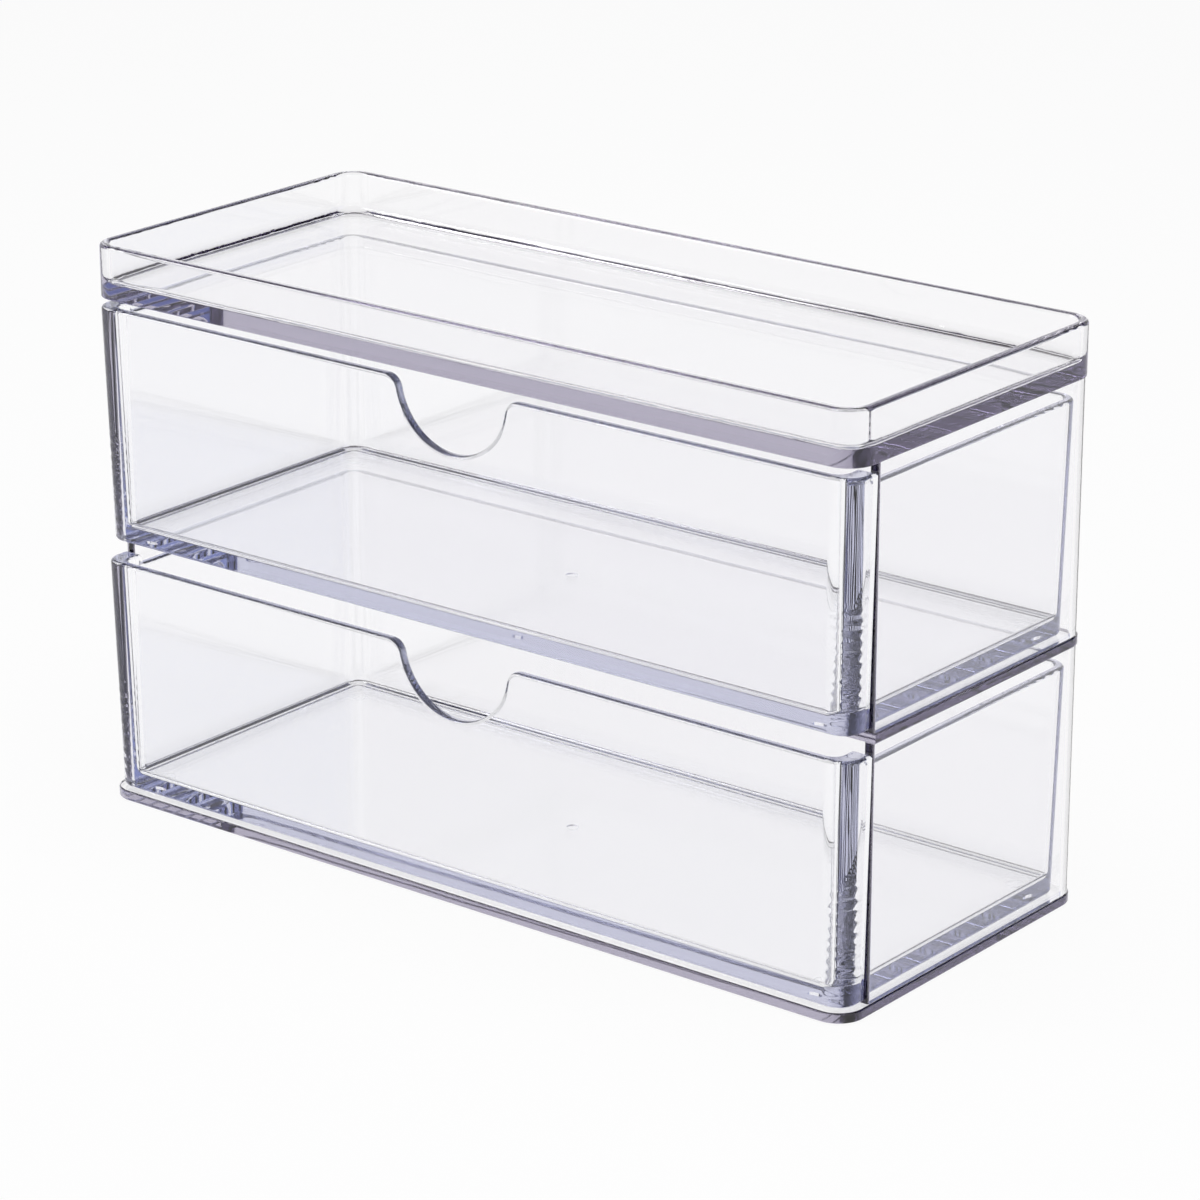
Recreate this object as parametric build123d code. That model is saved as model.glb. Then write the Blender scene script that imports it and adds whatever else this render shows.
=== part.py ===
from build123d import *
from math import radians, tan
import os

# Clear moulded organiser: an open-fronted case of two bays under a shallow tray,
# with a tapered drawer in each bay. Millimetres, +Z up, the drawers open towards -Y.
# The origin is at the middle of the footprint, on the surface that the base stands on.

# Case
case_width = 180.0
case_depth = 76.0
corner_radius = 5.5
base_thickness = 2.0
shelf_thickness = 2.0
bay_height = 49.4
wall_thickness = 2.0
wall_inset = 0.3          # the walls stand this far inside the edges of the plates
wall_setback = 7.5        # front edges of walls and shelf, behind the front edge of the base
plate_edge_round = 0.3

# Tray on top
tray_floor = 2.6
tray_rim = 8.0
tray_wall = 2.0
tray_rim_round = 0.8
tray_base_round = 0.3
tray_corner_round = 1.8   # where the inside of the rim wall meets the tray's floor

# Drawers
drawer_wall = 2.0
drawer_floor = 2.7
drawer_corner_radius = 4.0
draft_angle = 1.0         # upright faces of the drawers, and the tray's inside, lean in by this
rim_drop = 2.0            # side and back walls end this far under the front wall
rim_round = 0.7
floor_round = 0.7         # outer edge of a drawer's underside
cavity_round = 1.7        # where the inside of a drawer's walls meets its floor
scoop_radius = 12.8
scoop_lip_radius = 3.0
foot_diameter = 3.2
foot_height = 0.3
foot_margin = 5.0         # from the edge of a foot to the nearest faces of the drawer's floor
gate_diameter = 2.4
gate_depth = 0.3

# Clearances
seat_clearance = 0.1      # feet of a drawer over the plate that they slide on
rim_clearance = 1.8       # front rim of a drawer under the plate above it
front_reveal = 0.4        # drawer front behind the front edge of the base, and inside its sides
side_clearance = 0.3      # drawer side to case wall
back_clearance = 0.8      # drawer back to case wall
stop_clearance = 0.3      # drawer front to the front edges of the case walls

# Levels and places that follow from the sizes above
front_edge = -case_depth / 2
back_edge = case_depth / 2
shelf_bottom = base_thickness + bay_height
shelf_top = shelf_bottom + shelf_thickness
tray_bottom = shelf_top + bay_height
tray_floor_top = tray_bottom + tray_floor
floor_gap = seat_clearance + foot_height
drawer_height = bay_height - floor_gap - rim_clearance
wall_outer_radius = corner_radius - wall_inset
wall_front = front_edge + wall_setback
wall_outer_half = case_width / 2 - wall_inset
wall_inner_half = wall_outer_half - wall_thickness
wall_inner_back = back_edge - wall_inset - wall_thickness
drawer_front = front_edge + front_reveal
drawer_back = wall_inner_back - back_clearance
body_width = 2 * (wall_inner_half - side_clearance)
front_width = case_width - 2 * front_reveal
wrap_end = wall_front - stop_clearance
ahead = front_edge - corner_radius
through = 1.0             # cutters run this far past the faces that they cut
level_band = 0.01         # an edge this close to a level lies in it
round_share = 0.47        # a rounding takes this much of its wall at most


def span(width, front, back, radius, level):
    """Rounded rectangle across the case, between two depths, at one height."""
    outline = RectangleRounded(width, back - front, radius)
    return (Pos(0, (front + back) / 2, level) * outline).face()


def slab(width, front, back, low, high):
    """Square-cornered block across the case, used to cut and to trim."""
    size = Box(width, back - front, high - low, align=(Align.CENTER, Align.MIN, Align.MIN))
    return Pos(0, front, low) * size


def drafted(width, front, back, radius, top, bottom):
    """Rounded block whose faces lean inwards from its top to its bottom."""
    lean = (top - bottom) * tan(radians(draft_angle))
    upper = span(width, front, back, radius, top)
    lower = span(width - 2 * lean, front + lean, back - lean, radius, bottom)
    return loft([upper, lower], ruled=True)


def prism(width, front, back, radius, low, high):
    """Upright block on a rounded rectangle."""
    return extrude(span(width, front, back, radius, low), high - low)


def edges_at(solid, level):
    """Edges of a solid that lie at one height."""
    return solid.edges().filter_by_position(Axis.Z, level - level_band, level + level_band)


def within(rounding, wall):
    """A rounding, or less where its wall is too thin for it."""
    return min(rounding, round_share * wall)


def make_base():
    plate = prism(case_width, front_edge, back_edge, corner_radius, 0, base_thickness)
    rims = edges_at(plate, 0) + edges_at(plate, base_thickness)
    return fillet(rims, within(plate_edge_round, base_thickness))


def make_wall(low):
    """Side walls and back wall of one bay in one piece, open to the front and above."""
    high = low + bay_height
    outer = prism(2 * wall_outer_half, ahead, back_edge - wall_inset, wall_outer_radius, low, high)
    inner = prism(2 * wall_inner_half, ahead - through, wall_inner_back,
                  wall_outer_radius - wall_thickness, low - through, high + through)
    front = slab(case_width, ahead - through, wall_front, low - through, high + through)
    wall = outer - inner - front
    front_faces = wall.faces().sort_by(Axis.Y)[:2]
    uprights = front_faces.edges().filter_by(Axis.Z)
    return fillet(uprights, within(plate_edge_round, wall_thickness))


def make_shelf():
    plate = prism(case_width, ahead, back_edge, corner_radius, shelf_bottom, shelf_top)
    plate -= slab(case_width, ahead, wall_front, shelf_bottom - through, shelf_top + through)
    front_rims = plate.faces().sort_by(Axis.Y)[0].edges().filter_by(Axis.X)
    return fillet(front_rims, within(plate_edge_round, shelf_thickness))


def make_tray():
    rim_top = tray_floor_top + tray_rim
    shell = prism(case_width, front_edge, back_edge, corner_radius, tray_bottom, rim_top)
    shell -= drafted(case_width - 2 * tray_wall, front_edge + tray_wall, back_edge - tray_wall,
                     corner_radius - tray_wall, rim_top, tray_floor_top)
    shell = fillet(edges_at(shell, tray_floor_top), within(tray_corner_round, tray_rim))
    shell = fillet(edges_at(shell, rim_top), within(tray_rim_round, tray_wall))
    return fillet(edges_at(shell, tray_bottom), within(tray_base_round, tray_floor))


def scoop_cutter(rim):
    """Round finger notch in the top of a drawer front, with its lips rounded over."""
    reach = scoop_radius + 2 * scoop_lip_radius
    outline = Circle(scoop_radius) + Rectangle(2 * reach, through, align=(Align.CENTER, Align.MIN))
    lips = outline.vertices().filter_by_position(Axis.X, -reach, reach, (False, False))
    outline = fillet(lips, scoop_lip_radius)
    behind = drawer_front + drawer_wall + through
    start = Plane(origin=(0, behind, rim), x_dir=(1, 0, 0), z_dir=(0, -1, 0))
    return extrude(start * outline, drawer_wall + 2 * through)


def drawer_shell(bottom, rim):
    """Drawer body between the case walls, with a wider front that hides their edges."""
    body = drafted(body_width, drawer_front, drawer_back, drawer_corner_radius, rim, bottom)
    body -= slab(case_width, wrap_end, drawer_back + through, rim - rim_drop, rim + through)
    front = drafted(front_width, drawer_front, drawer_back, drawer_corner_radius, rim, bottom)
    front -= slab(case_width, wrap_end, drawer_back + through, bottom - through, rim + through)
    cavity = drafted(body_width - 2 * drawer_wall, drawer_front + drawer_wall,
                     drawer_back - drawer_wall, drawer_corner_radius - drawer_wall,
                     rim, bottom + drawer_floor)
    return body + front - cavity


def make_drawer(plate_top):
    bottom = plate_top + floor_gap
    rim = bottom + drawer_height
    drawer = drawer_shell(bottom, rim)
    drawer = fillet(edges_at(drawer, bottom + drawer_floor), within(cavity_round, drawer_height))
    drawer -= scoop_cutter(rim)
    for level in (rim, rim - rim_drop):
        drawer = fillet(edges_at(drawer, level), within(rim_round, drawer_wall))
    drawer = fillet(edges_at(drawer, bottom), within(floor_round, drawer_floor))
    lean = drawer_height * tan(radians(draft_angle))
    reach = foot_margin + foot_diameter / 2 + lean
    places = GridLocations(body_width - 2 * reach, drawer_back - drawer_front - 2 * reach, 2, 2)
    middle = Pos(0, (drawer_front + drawer_back) / 2, bottom)
    foot = Cylinder(foot_diameter / 2, foot_height, align=(Align.CENTER, Align.CENTER, Align.MAX))
    gate = Cylinder(gate_diameter / 2, gate_depth, align=(Align.CENTER, Align.CENTER, Align.MIN))
    for place in places:
        drawer += middle * place * foot
    return drawer - middle * gate


pieces = {
    "base_plate": make_base(),
    "lower_wall": make_wall(base_thickness),
    "middle_shelf": make_shelf(),
    "upper_wall": make_wall(shelf_top),
    "top_tray": make_tray(),
    "lower_drawer": make_drawer(base_thickness),
    "upper_drawer": make_drawer(shelf_top),
}

os.makedirs("parts", exist_ok=True)
for name, piece in pieces.items():
    export_step(piece, "parts/" + name + ".step")
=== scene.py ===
import math

import bmesh
import bpy
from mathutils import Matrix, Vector


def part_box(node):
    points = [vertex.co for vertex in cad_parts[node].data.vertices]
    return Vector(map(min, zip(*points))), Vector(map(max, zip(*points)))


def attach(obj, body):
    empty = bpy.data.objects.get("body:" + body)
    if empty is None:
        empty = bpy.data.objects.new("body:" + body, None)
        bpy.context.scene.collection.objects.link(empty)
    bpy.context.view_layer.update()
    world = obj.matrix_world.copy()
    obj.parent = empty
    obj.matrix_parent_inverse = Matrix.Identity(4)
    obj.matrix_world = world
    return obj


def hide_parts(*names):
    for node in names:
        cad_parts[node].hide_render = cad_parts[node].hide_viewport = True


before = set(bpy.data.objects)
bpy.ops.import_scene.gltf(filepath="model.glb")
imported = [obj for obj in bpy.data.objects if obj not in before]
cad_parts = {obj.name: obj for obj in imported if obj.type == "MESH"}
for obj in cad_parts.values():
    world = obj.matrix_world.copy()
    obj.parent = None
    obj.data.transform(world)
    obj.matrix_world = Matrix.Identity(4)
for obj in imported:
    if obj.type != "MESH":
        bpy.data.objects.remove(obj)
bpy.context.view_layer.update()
print("frame loaded:", sorted(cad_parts))


def link(tree, source, target):
    tree.links.new(source, target)


def addNode(tree, kind, **values):
    node = tree.nodes.new(kind)
    for key, value in values.items():
        setattr(node, key, value)
    return node


def newMaterial(name):
    material = bpy.data.materials.new(name)
    material.use_nodes = True
    material.node_tree.nodes.clear()
    return material, material.node_tree


# Clear moulded plastic. Lengths are in metres.
caseLook = {
    "name": "clearCasePlastic",
    "paleTint": (1.0, 1.0, 1.0, 1.0),
    "deepTint": (0.995, 0.994, 0.997, 1.0),
    "clouding": 14.0,               # patches of tint per metre
    "cloudDetail": 2.0,
    "smoothRoughness": 0.0,
    "dullRoughness": 0.02,
    "wipeMarks": 60.0,              # faint dull patches per metre
    "wipeDetail": 4.0,
    "wipeRange": (0.55, 0.8),       # values of their noise where dullness sets in and is full
    "ripple": 45.0,                 # moulding ripples per metre
    "rippleDetail": 1.0,
    "rippleDepth": 0.00002,
    "refraction": 1.57,
    "absorbs": (0.475, 0.435, 0.575, 1.0),
    "density": 19.0,
}

# Marks left by the flow of plastic round the drawers' front corners
flowMarks = {
    "side": (0.0838, 0.0858),       # distance from the middle plane where they set in
    "depth": (-0.0298, -0.0312),    # and how far forward
    "drawerPitch": 0.0514,          # from one drawer up to the next
    "change": (0.0265, 0.0225),     # height in a drawer where fine lines give way to waves
    "waveScale": 150.0,             # a wave every 2 mm
    "waveDistortion": 3.0,
    "waveDetail": 1.0,
    "waveDetailScale": 1.5,
    "waveDepth": 3.0,               # against the ripples of the whole surface
    "lineScale": (1300.0, 1300.0, 22.0),
    "lineDetail": 1.0,
    "lineDepth": 0.7,
}

drawerLook = dict(caseLook, name="clearDrawerPlastic", absorbs=(0.42, 0.44, 0.66, 1.0), density=11.5,
                  ripple=38.0, flow=flowMarks)


def ease(tree, value, limits):
    # 0 before the first limit, 1 past the second
    step = addNode(tree, "ShaderNodeMapRange", interpolation_type="SMOOTHSTEP")
    step.inputs["From Min"].default_value = min(limits)
    step.inputs["From Max"].default_value = max(limits)
    step.inputs["To Min"].default_value = float(limits[0] > limits[1])
    step.inputs["To Max"].default_value = float(limits[0] < limits[1])
    link(tree, value, step.inputs["Value"])
    return step.outputs["Result"]


def reckon(tree, operation, first, second=None, third=None):
    step = addNode(tree, "ShaderNodeMath", operation=operation)
    for socket, value in zip(step.inputs, (first, second, third)):
        if isinstance(value, float):
            socket.default_value = value
        elif value is not None:
            link(tree, value, socket)
    return step.outputs["Value"]


def addFlowMarks(tree, place, flow, height):
    axes = addNode(tree, "ShaderNodeSeparateXYZ")
    link(tree, place, axes.inputs["Vector"])
    side = ease(tree, reckon(tree, "ABSOLUTE", axes.outputs["X"]), flow["side"])
    corner = reckon(tree, "MULTIPLY", side, ease(tree, axes.outputs["Y"], flow["depth"]))
    level = reckon(tree, "MODULO", axes.outputs["Z"], flow["drawerPitch"])
    low = ease(tree, level, flow["change"])
    waves = addNode(tree, "ShaderNodeTexWave", wave_type="BANDS", bands_direction="Z")
    waves.inputs["Scale"].default_value = flow["waveScale"]
    waves.inputs["Distortion"].default_value = flow["waveDistortion"]
    waves.inputs["Detail"].default_value = flow["waveDetail"]
    waves.inputs["Detail Scale"].default_value = flow["waveDetailScale"]
    link(tree, place, waves.inputs["Vector"])
    stretch = addNode(tree, "ShaderNodeMapping")
    stretch.inputs["Scale"].default_value = flow["lineScale"]
    link(tree, place, stretch.inputs["Vector"])
    lines = addNode(tree, "ShaderNodeTexNoise")
    lines.inputs["Scale"].default_value = 1.0      # the mapping before it sets the scale
    lines.inputs["Detail"].default_value = flow["lineDetail"]
    link(tree, stretch.outputs["Vector"], lines.inputs["Vector"])
    waveHeight = reckon(tree, "MULTIPLY", waves.outputs["Fac"], flow["waveDepth"])
    lineHeight = reckon(tree, "MULTIPLY", lines.outputs["Fac"], flow["lineDepth"])
    marks = addNode(tree, "ShaderNodeMix", data_type="FLOAT")
    link(tree, low, marks.inputs["Factor"])
    link(tree, lineHeight, marks.inputs["A"])
    link(tree, waveHeight, marks.inputs["B"])
    return reckon(tree, "MULTIPLY_ADD", corner, marks.outputs["Result"], height)


def makeClearPlastic(look):
    material, tree = newMaterial(look["name"])
    output = addNode(tree, "ShaderNodeOutputMaterial")
    shader = addNode(tree, "ShaderNodeBsdfPrincipled")
    place = addNode(tree, "ShaderNodeTexCoord")

    clouds = addNode(tree, "ShaderNodeTexNoise")
    clouds.inputs["Scale"].default_value = look["clouding"]
    clouds.inputs["Detail"].default_value = look["cloudDetail"]
    tint = addNode(tree, "ShaderNodeMix", data_type="RGBA")
    tint.inputs["A"].default_value = look["paleTint"]
    tint.inputs["B"].default_value = look["deepTint"]
    link(tree, place.outputs["Object"], clouds.inputs["Vector"])
    link(tree, clouds.outputs["Fac"], tint.inputs["Factor"])
    link(tree, tint.outputs["Result"], shader.inputs["Base Color"])

    wipes = addNode(tree, "ShaderNodeTexNoise")
    wipes.inputs["Scale"].default_value = look["wipeMarks"]
    wipes.inputs["Detail"].default_value = look["wipeDetail"]
    dull = addNode(tree, "ShaderNodeMapRange")
    dull.inputs["From Min"].default_value = look["wipeRange"][0]
    dull.inputs["From Max"].default_value = look["wipeRange"][1]
    dull.inputs["To Min"].default_value = look["smoothRoughness"]
    dull.inputs["To Max"].default_value = look["dullRoughness"]
    link(tree, place.outputs["Object"], wipes.inputs["Vector"])
    link(tree, wipes.outputs["Fac"], dull.inputs["Value"])
    link(tree, dull.outputs["Result"], shader.inputs["Roughness"])

    ripples = addNode(tree, "ShaderNodeTexNoise")
    ripples.inputs["Scale"].default_value = look["ripple"]
    ripples.inputs["Detail"].default_value = look["rippleDetail"]
    bump = addNode(tree, "ShaderNodeBump")
    bump.inputs["Strength"].default_value = 1.0
    bump.inputs["Distance"].default_value = look["rippleDepth"]
    link(tree, place.outputs["Object"], ripples.inputs["Vector"])
    height = ripples.outputs["Fac"]
    if "flow" in look:
        height = addFlowMarks(tree, place.outputs["Object"], look["flow"], height)
    link(tree, height, bump.inputs["Height"])
    link(tree, bump.outputs["Normal"], shader.inputs["Normal"])

    shader.inputs["Transmission Weight"].default_value = 1.0
    shader.inputs["IOR"].default_value = look["refraction"]
    link(tree, shader.outputs["BSDF"], output.inputs["Surface"])

    inside = addNode(tree, "ShaderNodeVolumeAbsorption")
    inside.inputs["Color"].default_value = look["absorbs"]
    inside.inputs["Density"].default_value = look["density"]
    link(tree, inside.outputs["Volume"], output.inputs["Volume"])
    return material


casePlastic = makeClearPlastic(caseLook)
drawerPlastic = makeClearPlastic(drawerLook)
print("materials made")

# What all the pieces share
shell = {
    "mergeDistance": 0.0000005,
    "weldGap": 0.00003,        # left between the case's pieces at their glued joints
    "flatWithin": 0.4,         # degrees between triangles of one flat face
    "sharpAbove": 42.0,        # degrees at an edge that stays crisp
    "roundSegments": 4,
    "flatFaceWeight": 100,     # how far flat faces hold the shading of the edges beside them
}


def finishPiece(name, mesh, edgeRound=0.0):
    piece = bpy.data.objects.new(name, mesh)
    bpy.context.scene.collection.objects.link(piece)
    if edgeRound:
        bevel = piece.modifiers.new("rounding", "BEVEL")
        bevel.limit_method = "WEIGHT"
        bevel.width = edgeRound
        bevel.segments = shell["roundSegments"]
    weighted = piece.modifiers.new("weighted", "WEIGHTED_NORMAL")
    weighted.mode = "FACE_AREA"
    weighted.weight = shell["flatFaceWeight"]
    weighted.keep_sharp = True
    return piece


def shadeSmooth(form):
    for face in form.faces:
        face.smooth = True
    crisp = math.radians(shell["sharpAbove"])
    for edge in form.edges:
        edge.smooth = edge.calc_face_angle(math.pi) < crisp


def wear(piece, node, body):
    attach(piece, body)
    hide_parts(node)


# The plates and walls of the case are grown from outlines and paths by Geometry Nodes
def newTree(name, inputs):
    tree = bpy.data.node_groups.new(name, "GeometryNodeTree")
    tree.interface.new_socket("Geometry", in_out="OUTPUT", socket_type="NodeSocketGeometry")
    for label, kind in inputs.items():
        tree.interface.new_socket(label, in_out="INPUT", socket_type="NodeSocket" + kind)
    return tree, addNode(tree, "NodeGroupInput"), addNode(tree, "NodeGroupOutput")


def endTree(tree, given, shape, result):
    real = addNode(tree, "GeometryNodeRealizeInstances")
    coat = addNode(tree, "GeometryNodeSetMaterial")
    link(tree, shape, real.inputs["Geometry"])
    link(tree, real.outputs["Geometry"], coat.inputs["Geometry"])
    link(tree, given.outputs["Material"], coat.inputs["Material"])
    link(tree, coat.outputs["Geometry"], result.inputs["Geometry"])


def moveTo(tree, shape, depth, level):
    shift = addNode(tree, "GeometryNodeTransform")
    spot = addNode(tree, "ShaderNodeCombineXYZ")
    if depth is not None:
        link(tree, depth, spot.inputs["Y"])
    link(tree, level, spot.inputs["Z"])
    link(tree, shape, shift.inputs["Geometry"])
    link(tree, spot.outputs["Vector"], shift.inputs["Translation"])
    return shift.outputs["Geometry"]


def plateTree():
    tree, given, result = newTree("roundedPlate", {
        "Width": "Float", "Depth": "Float", "Middle": "Float", "Level": "Float", "Thickness": "Float",
        "Front Corners": "Float", "Back Corners": "Float", "Corner Steps": "Int", "Material": "Material"})
    outline = addNode(tree, "GeometryNodeCurvePrimitiveQuadrilateral", mode="RECTANGLE")
    link(tree, given.outputs["Width"], outline.inputs["Width"])
    link(tree, given.outputs["Depth"], outline.inputs["Height"])
    spot = addNode(tree, "GeometryNodeInputPosition")
    axes = addNode(tree, "ShaderNodeSeparateXYZ")
    behind = addNode(tree, "FunctionNodeCompare", data_type="FLOAT", operation="GREATER_THAN")
    radius = addNode(tree, "GeometryNodeSwitch", input_type="FLOAT")
    link(tree, spot.outputs["Position"], axes.inputs["Vector"])
    link(tree, axes.outputs["Y"], behind.inputs["A"])
    link(tree, behind.outputs["Result"], radius.inputs["Switch"])
    link(tree, given.outputs["Front Corners"], radius.inputs["False"])
    link(tree, given.outputs["Back Corners"], radius.inputs["True"])
    corners = addNode(tree, "GeometryNodeFilletCurve", mode="POLY")
    link(tree, outline.outputs["Curve"], corners.inputs["Curve"])
    link(tree, given.outputs["Corner Steps"], corners.inputs["Count"])
    link(tree, radius.outputs["Output"], corners.inputs["Radius"])
    sheet = addNode(tree, "GeometryNodeFillCurve", mode="NGONS")
    link(tree, corners.outputs["Curve"], sheet.inputs["Curve"])
    rise = addNode(tree, "ShaderNodeCombineXYZ")
    link(tree, given.outputs["Thickness"], rise.inputs["Z"])
    thick = addNode(tree, "GeometryNodeExtrudeMesh", mode="FACES")
    thick.inputs["Individual"].default_value = False
    link(tree, sheet.outputs["Mesh"], thick.inputs["Mesh"])
    link(tree, rise.outputs["Vector"], thick.inputs["Offset"])
    under = addNode(tree, "GeometryNodeFlipFaces")
    link(tree, sheet.outputs["Mesh"], under.inputs["Mesh"])
    both = addNode(tree, "GeometryNodeJoinGeometry")
    link(tree, thick.outputs["Mesh"], both.inputs["Geometry"])
    link(tree, under.outputs["Mesh"], both.inputs["Geometry"])
    closed = addNode(tree, "GeometryNodeMergeByDistance")
    closed.inputs["Distance"].default_value = shell["mergeDistance"]
    link(tree, both.outputs["Geometry"], closed.inputs["Geometry"])
    placed = moveTo(tree, closed.outputs["Geometry"], given.outputs["Middle"], given.outputs["Level"])
    endTree(tree, given, placed, result)
    return tree


def wallTree():
    tree, given, result = newTree("bentWall", {
        "Half Width": "Float", "Front": "Float", "Back": "Float", "Level": "Float", "Height": "Float",
        "Thickness": "Float", "Bend": "Float", "Corner Steps": "Int", "Material": "Material"})
    left = addNode(tree, "ShaderNodeMath", operation="MULTIPLY")
    left.inputs[1].default_value = -1.0
    link(tree, given.outputs["Half Width"], left.inputs[0])
    route = addNode(tree, "GeometryNodeCurvePrimitiveQuadrilateral", mode="POINTS")
    ends = ((left.outputs["Value"], "Front"), (left.outputs["Value"], "Back"),
            (given.outputs["Half Width"], "Back"), (given.outputs["Half Width"], "Front"))
    for number, (side, depth) in enumerate(ends, 1):
        spot = addNode(tree, "ShaderNodeCombineXYZ")
        link(tree, side, spot.inputs["X"])
        link(tree, given.outputs[depth], spot.inputs["Y"])
        link(tree, spot.outputs["Vector"], route.inputs["Point " + str(number)])
    opened = addNode(tree, "GeometryNodeSetSplineCyclic")
    opened.inputs["Cyclic"].default_value = False
    link(tree, route.outputs["Curve"], opened.inputs["Geometry"])
    bends = addNode(tree, "GeometryNodeFilletCurve", mode="POLY")
    link(tree, opened.outputs["Geometry"], bends.inputs["Curve"])
    link(tree, given.outputs["Corner Steps"], bends.inputs["Count"])
    link(tree, given.outputs["Bend"], bends.inputs["Radius"])
    section = addNode(tree, "GeometryNodeCurvePrimitiveQuadrilateral", mode="RECTANGLE")
    link(tree, given.outputs["Thickness"], section.inputs["Width"])
    link(tree, given.outputs["Height"], section.inputs["Height"])
    swept = addNode(tree, "GeometryNodeCurveToMesh")
    swept.inputs["Fill Caps"].default_value = True
    link(tree, bends.outputs["Curve"], swept.inputs["Curve"])
    link(tree, section.outputs["Curve"], swept.inputs["Profile Curve"])
    half = addNode(tree, "ShaderNodeMath", operation="MULTIPLY_ADD")
    half.inputs[1].default_value = 0.5
    link(tree, given.outputs["Height"], half.inputs[0])
    link(tree, given.outputs["Level"], half.inputs[2])
    placed = moveTo(tree, swept.outputs["Mesh"], None, half.outputs["Value"])
    endTree(tree, given, placed, result)
    return tree


def grow(name, tree, values, isRounded, edgeRound):
    seed = bpy.data.objects.new(name + "Seed", bpy.data.meshes.new(name + "Seed"))
    bpy.context.scene.collection.objects.link(seed)
    grower = seed.modifiers.new("grow", "NODES")
    grower.node_group = tree
    for socket in tree.interface.items_tree:
        if socket.in_out == "INPUT":
            grower[socket.identifier] = values[socket.name]
    graph = bpy.context.evaluated_depsgraph_get()
    mesh = bpy.data.meshes.new_from_object(seed.evaluated_get(graph))
    seed.modifiers.remove(grower)
    bpy.data.objects.remove(seed)
    form = bmesh.new()
    form.from_mesh(mesh)
    bmesh.ops.remove_doubles(form, verts=form.verts, dist=shell["mergeDistance"])
    bmesh.ops.recalc_face_normals(form, faces=form.faces)
    shadeSmooth(form)
    for face in form.faces:
        face.material_index = 0
    weight = form.edges.layers.float.new("bevel_weight_edge")
    for edge in form.edges:
        if isRounded(edge):
            edge[weight] = 1.0
    form.to_mesh(mesh)
    form.free()
    mesh.materials.clear()             # the tree leaves an empty slot before its own
    mesh.materials.append(values["Material"])
    return finishPiece(name, mesh, edgeRound)


# Corner radii of the plates. The shelf is cut square at the front, behind the drawers' fronts.
plates = {
    "basePlate": {"node": "base_plate", "frontCorners": 0.0055, "backCorners": 0.0055},
    "middleShelf": {"node": "middle_shelf", "frontCorners": 0.0, "backCorners": 0.0055},
}
plateShape = {"cornerSteps": 16, "edgeRound": 0.0003}


def isRim(edge):
    return abs(edge.verts[0].co.z - edge.verts[1].co.z) < shell["mergeDistance"]


def makePlates():
    tree = plateTree()
    for name, plate in plates.items():
        low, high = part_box(plate["node"])
        piece = grow(name, tree, {
            "Width": high.x - low.x,
            "Depth": high.y - low.y,
            "Middle": (high.y + low.y) / 2,
            "Level": low.z,
            "Thickness": high.z - low.z,
            "Front Corners": plate["frontCorners"],
            "Back Corners": plate["backCorners"],
            "Corner Steps": plateShape["cornerSteps"],
            "Material": casePlastic,
        }, isRim, plateShape["edgeRound"])
        wear(piece, plate["node"], "case")


# Each bay's side walls and back wall are one strip bent round the back corners
walls = {"lowerWall": "lower_wall", "upperWall": "upper_wall"}
wallShape = {"thickness": 0.002, "outerBend": 0.0052, "cornerSteps": 16, "edgeRound": 0.0003}


def makeWalls():
    tree = wallTree()
    half = wallShape["thickness"] / 2
    gap = shell["weldGap"]
    for name, node in walls.items():
        low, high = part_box(node)

        def isFrontUpright(edge):
            first, second = edge.verts[0].co, edge.verts[1].co
            return max(first.y, second.y) - low.y < gap and abs(first.z - second.z) > half

        piece = grow(name, tree, {
            "Half Width": high.x - half,
            "Front": low.y,
            "Back": high.y - half,
            "Level": low.z + gap,
            "Height": high.z - low.z - 2 * gap,
            "Thickness": wallShape["thickness"],
            "Bend": wallShape["outerBend"] - half,
            "Corner Steps": wallShape["cornerSteps"],
            "Material": casePlastic,
        }, isFrontUpright, wallShape["edgeRound"])
        wear(piece, node, "case")


# The tray and the drawers are merged copies of the frame's solids, with flat faces kept flat
mouldings = {
    "topTray": {"node": "top_tray", "body": "case", "slot": "clear_case"},
    "upperDrawer": {"node": "upper_drawer", "body": "upper_drawer", "slot": "clear_drawer"},
    "lowerDrawer": {"node": "lower_drawer", "body": "lower_drawer", "slot": "clear_drawer"},
}


def makeMouldings():
    plastics = {"clear_case": casePlastic, "clear_drawer": drawerPlastic}
    for name, moulding in mouldings.items():
        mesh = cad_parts[moulding["node"]].data.copy()
        form = bmesh.new()
        form.from_mesh(mesh)
        bmesh.ops.remove_doubles(form, verts=form.verts, dist=shell["mergeDistance"])
        flat = math.radians(shell["flatWithin"])
        bmesh.ops.dissolve_limit(form, angle_limit=flat, verts=form.verts, edges=form.edges)
        shadeSmooth(form)
        form.to_mesh(mesh)
        form.free()
        mesh.materials.clear()
        mesh.materials.append(plastics[moulding["slot"]])
        wear(finishPiece(name, mesh), moulding["node"], moulding["body"])


makePlates()
makeWalls()
print("plates and walls grown")
makeMouldings()
print("tray and drawers finished")

# Pale studio
studio = {
    "white": 0.982,
    "floorSize": 6.0,
    "floorDrop": 0.0003,       # below the base, so that their faces don't coincide
    "floorGlow": 0.93,         # share of plain white in what the floor shows
    "floorPaint": 0.8,
    "zenith": (0.030, 0.025, 0.027, 1.0),
    "horizonTop": 0.43,        # sine of the elevation where the white backdrop ends
    "dimFrom": 0.52,           # and where the dim overhead begins
}

# Dim cards beside the bright backdrop, which draw the edges of clear plastic
cards = {
    "backRight": {"towards": (0.73, 0.68, 0.05), "colour": (0.21, 0.26, 0.58, 1.0)},
    "frontLeft": {"towards": (-0.73, -0.68, 0.05), "colour": (0.60, 0.55, 0.64, 1.0)},
}
cardEdge = {"full": 20.0, "gone": 34.0}      # degrees from a card's middle


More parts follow.
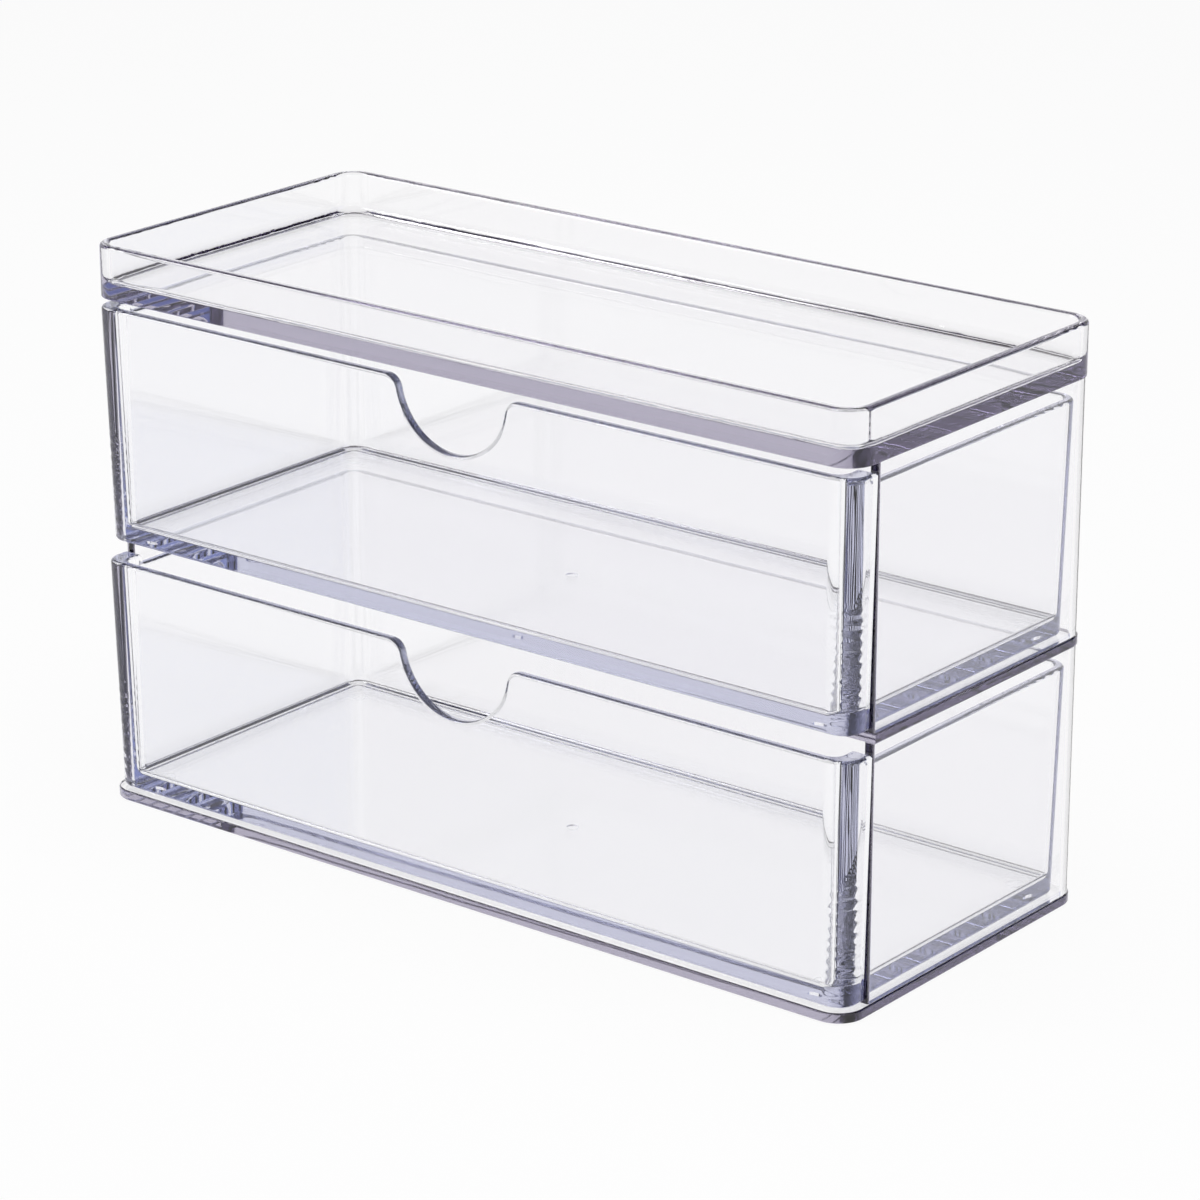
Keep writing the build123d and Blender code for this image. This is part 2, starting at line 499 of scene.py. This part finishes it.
def whiteRays(tree):
    # 1 where the floor is seen directly, mirrored or through the plastic
    rays = addNode(tree, "ShaderNodeLightPath")
    mirrored = addNode(tree, "ShaderNodeMath", operation="MAXIMUM")
    through = addNode(tree, "ShaderNodeMath", operation="MAXIMUM")
    link(tree, rays.outputs["Is Camera Ray"], mirrored.inputs[0])
    link(tree, rays.outputs["Is Glossy Ray"], mirrored.inputs[1])
    link(tree, mirrored.outputs["Value"], through.inputs[0])
    link(tree, rays.outputs["Is Transmission Ray"], through.inputs[1])
    return through.outputs["Value"]


def makeFloor():
    half = studio["floorSize"] / 2
    drop = studio["floorDrop"]
    mesh = bpy.data.meshes.new("studioFloor")
    corners = [(-half, -half, -drop), (half, -half, -drop), (half, half, -drop), (-half, half, -drop)]
    mesh.from_pydata(corners, [], [(0, 1, 2, 3)])
    floor = bpy.data.objects.new("studioFloor", mesh)
    bpy.context.scene.collection.objects.link(floor)
    material, tree = newMaterial("paleFloor")
    output = addNode(tree, "ShaderNodeOutputMaterial")
    paint = addNode(tree, "ShaderNodeBsdfDiffuse")
    paint.inputs["Color"].default_value = (studio["floorPaint"],) * 3 + (1.0,)
    glow = addNode(tree, "ShaderNodeEmission")
    share = addNode(tree, "ShaderNodeMath", operation="MULTIPLY")
    share.inputs[1].default_value = studio["floorGlow"]
    both = addNode(tree, "ShaderNodeMixShader")
    link(tree, whiteRays(tree), share.inputs[0])
    link(tree, share.outputs["Value"], both.inputs["Fac"])
    link(tree, paint.outputs["BSDF"], both.inputs[1])
    link(tree, glow.outputs["Emission"], both.inputs[2])
    link(tree, both.outputs["Shader"], output.inputs["Surface"])
    mesh.materials.append(material)


def makeWorld():
    world = bpy.data.worlds.new("studioWorld")
    bpy.context.scene.world = world
    world.use_nodes = True
    tree = world.node_tree
    tree.nodes.clear()
    output = addNode(tree, "ShaderNodeOutputWorld")
    place = addNode(tree, "ShaderNodeTexCoord")
    split = addNode(tree, "ShaderNodeSeparateXYZ")
    ramp = addNode(tree, "ShaderNodeValToRGB")
    white = (studio["white"],) * 3 + (1.0,)
    ramp.color_ramp.elements[0].position = studio["horizonTop"]
    ramp.color_ramp.elements[0].color = white
    ramp.color_ramp.elements[1].position = studio["dimFrom"]
    ramp.color_ramp.elements[1].color = studio["zenith"]
    seen = addNode(tree, "ShaderNodeBackground")
    seen.inputs["Color"].default_value = white
    around = addNode(tree, "ShaderNodeBackground")
    rays = addNode(tree, "ShaderNodeLightPath")
    mix = addNode(tree, "ShaderNodeMixShader")
    link(tree, place.outputs["Generated"], split.inputs["Vector"])
    link(tree, split.outputs["Z"], ramp.inputs["Fac"])
    colour = ramp.outputs["Color"]
    for card in cards.values():
        facing = addNode(tree, "ShaderNodeVectorMath", operation="DOT_PRODUCT")
        facing.inputs[1].default_value = Vector(card["towards"]).normalized()
        reach = addNode(tree, "ShaderNodeMapRange", interpolation_type="SMOOTHSTEP")
        reach.inputs["From Min"].default_value = math.cos(math.radians(cardEdge["gone"]))
        reach.inputs["From Max"].default_value = math.cos(math.radians(cardEdge["full"]))
        blend = addNode(tree, "ShaderNodeMix", data_type="RGBA")
        blend.inputs["B"].default_value = card["colour"]
        link(tree, place.outputs["Generated"], facing.inputs[0])
        link(tree, facing.outputs["Value"], reach.inputs["Value"])
        link(tree, reach.outputs["Result"], blend.inputs["Factor"])
        link(tree, colour, blend.inputs["A"])
        colour = blend.outputs["Result"]
    link(tree, colour, around.inputs["Color"])
    link(tree, rays.outputs["Is Camera Ray"], mix.inputs["Fac"])
    link(tree, around.outputs["Background"], mix.inputs[1])
    link(tree, seen.outputs["Background"], mix.inputs[2])
    link(tree, mix.outputs["Shader"], output.inputs["Surface"])


# Soft lamps. The overhead one isn't seen in the plastic, whose dark edges it would whiten.
softBoxes = {
    "overhead": {"place": (0.10, -0.05, 0.95), "size": 0.7, "watts": 7.5, "mirrored": False},
    "left": {"place": (-0.75, -0.55, 0.75), "size": 0.3, "watts": 1.5, "mirrored": True},
    "right": {"place": (0.85, -0.35, 0.70), "size": 0.25, "watts": 1.0, "mirrored": True},
}
lampAim = (0.0, 0.0, 0.06)


def makeSoftBoxes():
    aim = Vector(lampAim)
    for name, box in softBoxes.items():
        lamp = bpy.data.lights.new(name, "AREA")
        lamp.shape = "SQUARE"
        lamp.size = box["size"]
        lamp.energy = box["watts"]
        holder = bpy.data.objects.new(name, lamp)
        holder.location = box["place"]
        holder.rotation_euler = (aim - holder.location).to_track_quat("-Z", "Y").to_euler()
        holder.visible_glossy = box["mirrored"]
        holder.visible_transmission = box["mirrored"]
        bpy.context.scene.collection.objects.link(holder)


view = {
    "azimuth": 38.374,
    "elevation": 19.298,
    "distance": 0.808,
    "target": (0.035, -0.038, 0.0682),
    "lens": 136.02,
    "sensor": 36.0,
    "nearest": 0.01,
}


def makeCamera():
    turn = math.radians(view["azimuth"])
    rise = math.radians(view["elevation"])
    back = Vector((math.sin(turn) * math.cos(rise), -math.cos(turn) * math.cos(rise), math.sin(rise)))
    data = bpy.data.cameras.new("camera")
    data.lens = view["lens"]
    data.sensor_width = view["sensor"]
    data.clip_start = view["nearest"]
    camera = bpy.data.objects.new("camera", data)
    camera.location = Vector(view["target"]) + back * view["distance"]
    camera.rotation_euler = (-back).to_track_quat("-Z", "Y").to_euler()
    bpy.context.scene.collection.objects.link(camera)
    bpy.context.scene.camera = camera


makeFloor()
makeWorld()
makeSoftBoxes()
makeCamera()
scene = bpy.context.scene
scene.view_settings.view_transform = "Standard"
lightBounces = 56              # light is carried along the inside of the walls from end to end
scene.cycles.max_bounces = lightBounces
scene.cycles.transmission_bounces = lightBounces
scene.cycles.glossy_bounces = lightBounces
print("studio ready")
